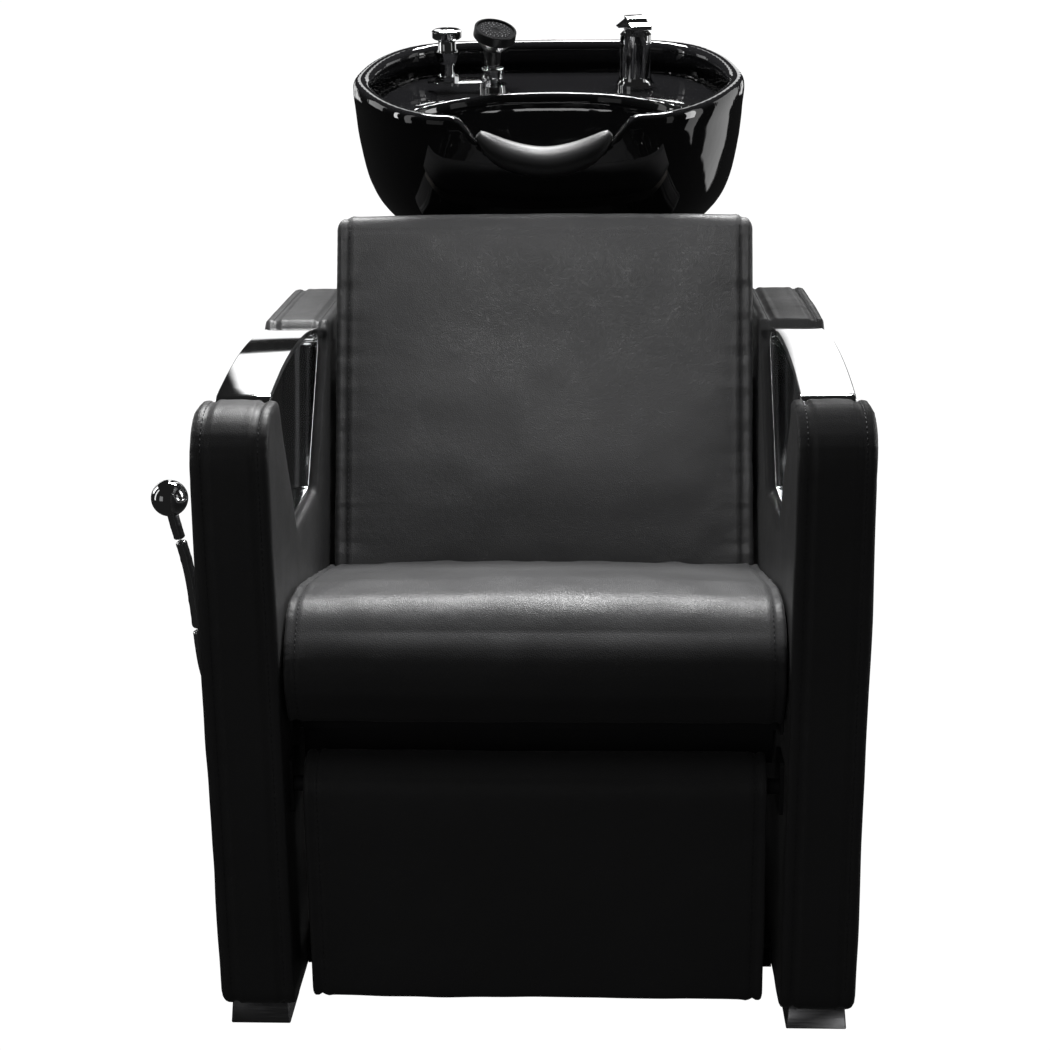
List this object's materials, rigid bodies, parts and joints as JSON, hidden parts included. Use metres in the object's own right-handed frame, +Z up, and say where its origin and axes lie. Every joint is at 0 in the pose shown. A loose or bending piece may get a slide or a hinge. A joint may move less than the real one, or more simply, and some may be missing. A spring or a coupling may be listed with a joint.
{
  "type": "shampoo backwash unit",
  "caption": "Salon backwash unit: padded seat and back between cut-out arms with metal armrest bands, swing-up leg rest on a side lever, tilting ceramic bowl, neck rest, mixer and hand spray",
  "frame": {"origin": "On the floor at the centre of the four floor bolt holes of the pedestal plate, under the bowl", "axes": "+Z up; +Y from the sitter's feet towards the bowl and the wall connections, so the seat and leg rest face -Y; +X to the right seen from the front"},
  "size_m": [0.75, 1.005, 1.019],
  "materials": {
    "black_leather": "fine grained synthetic leather, satin",
    "plywood": "raw birch ply",
    "polished_chrome": "mirror polished",
    "brushed_steel": "satin brushed",
    "painted_steel": "black powder coat",
    "zinc_steel": "zinc plated",
    "black_ceramic": "gloss glaze",
    "black_rubber": "moulded, satin",
    "black_plastic": "fine matte",
    "white_plastic": "moulded acetal",
    "grey_hose": "ribbed hose",
    "brass": "machined",
    "steel_braid": "braided sleeve"
  },
  "bodies": {
    "frame": {"floor_plate": "painted_steel", "base_rails": "painted_steel", "lower_cross_tubes": "painted_steel", "pedestal_column": "painted_steel", "tilt_bracket": "painted_steel", "pedestal_cover": "painted_steel", "service_plate": "zinc_steel", "water_inlets": "brass", "waste_outlet": "black_plastic", "left_arm_core": "plywood", "right_arm_core": "plywood", "left_arm_upholstery": "black_leather", "right_arm_upholstery": "black_leather", "left_armrest_trim": "polished_chrome", "right_armrest_trim": "polished_chrome", "trim_screws": "polished_chrome", "feet": "brushed_steel", "seat_board": "plywood", "seat_cushion": "black_leather", "seat_rails": "painted_steel", "seat_crossbars": "painted_steel", "back_board": "plywood", "back_cushion": "black_leather", "back_brackets": "painted_steel", "leg_rest_pivots": "painted_steel", "shaft_bushes": "white_plastic", "tilt_pin": "zinc_steel", "supply_hoses": "steel_braid", "waste_hose": "grey_hose"},
    "leg_rest": {"leg_rest_board": "plywood", "leg_rest_cushion": "black_leather", "leg_rest_brackets": "painted_steel"},
    "lever": {"lever_shaft": "zinc_steel", "shaft_cranks": "painted_steel", "side_lever": "polished_chrome", "lever_ball": "polished_chrome"},
    "links": {"drive_links": "painted_steel"},
    "clamp_knob": {"tilt_clamp_knob": "black_plastic"},
    "rear_panel": {"access_panel": "painted_steel", "panel_screws": "zinc_steel"},
    "basin": {"bowl_cradle": "painted_steel", "cradle_bolts": "zinc_steel", "bowl": "black_ceramic", "waste_flange": "polished_chrome", "waste_nut": "black_plastic", "mixer_body": "polished_chrome", "mixer_cartridge": "white_plastic", "breaker_base": "polished_chrome", "breaker_body": "polished_chrome", "breaker_cap": "polished_chrome", "spray_holder": "polished_chrome", "spray_hose": "steel_braid", "mixed_water_pipe": "brass"},
    "neck_pad": {"neck_rest": "black_rubber"},
    "waste_strainer": {"strainer": "polished_chrome"},
    "mixer_top": {"mixer_turret": "polished_chrome"},
    "mixer_handle": {"mixer_lever": "polished_chrome"},
    "hand_spray": {"hose_ferrule": "polished_chrome", "spray_handle": "black_plastic", "spray_head": "black_plastic"}
  },
  "joints": [
    {"name": "side_lever_pull", "type": "hinge", "parent": "frame", "child": "lever", "pos_m": [0, -0.57, 0.254], "axis": [-1, 0, 0], "range_deg": [0, 78]},
    {"name": "leg_rest_swing", "type": "hinge", "parent": "frame", "child": "leg_rest", "pos_m": [0, -0.74, 0.271], "axis": [-1, 0, 0], "range_deg": [0, 78]},
    {"name": "link_swing", "type": "hinge", "parent": "lever", "child": "links", "pos_m": [0, -0.525, 0.228], "axis": [-1, 0, 0], "range_deg": [-78, 0]},
    {"name": "bowl_tilt", "type": "hinge", "parent": "frame", "child": "basin", "pos_m": [0, 0.06, 0.634], "axis": [1, 0, 0], "range_deg": [-6, 4], "deforming": ["supply_hoses", "waste_hose"]},
    {"name": "clamp_knob_turn", "type": "hinge", "parent": "frame", "child": "clamp_knob", "pos_m": [0.07, 0.06, 0.634], "axis": [1, 0, 0], "range_deg": [-90, 90]},
    {"name": "rear_panel_off", "type": "slide", "parent": "frame", "child": "rear_panel", "axis": [0, 1, 0], "range_m": [0, 0.15]},
    {"name": "neck_rest_off", "type": "slide", "parent": "basin", "child": "neck_pad", "axis": [0, -0.1676, 0.9859], "range_m": [0, 0.08]},
    {"name": "strainer_off", "type": "slide", "parent": "basin", "child": "waste_strainer", "axis": [0, -0.1676, 0.9859], "range_m": [0, 0.2]},
    {"name": "mixer_turn", "type": "hinge", "parent": "basin", "child": "mixer_top", "pos_m": [0.115, 0.08915, 0.9829], "axis": [0, -0.1676, 0.9859], "range_deg": [-45, 45]},
    {"name": "mixer_lift", "type": "hinge", "parent": "mixer_top", "child": "mixer_handle", "pos_m": [0.11742, 0.07634, 1.00035], "axis": [0.9703, 0.2385, 0.0405], "range_deg": [0, 20]},
    {"name": "spray_pull_out", "type": "slide", "parent": "basin", "child": "hand_spray", "axis": [0, -0.1676, 0.9859], "range_m": [0, 0.2], "deforming": ["spray_hose"]}
  ],
  "couplings": [
    {"joint": "leg_rest_swing", "follows": "side_lever_pull", "ratio": 1},
    {"joint": "link_swing", "follows": "side_lever_pull", "ratio": -1}
  ]
}
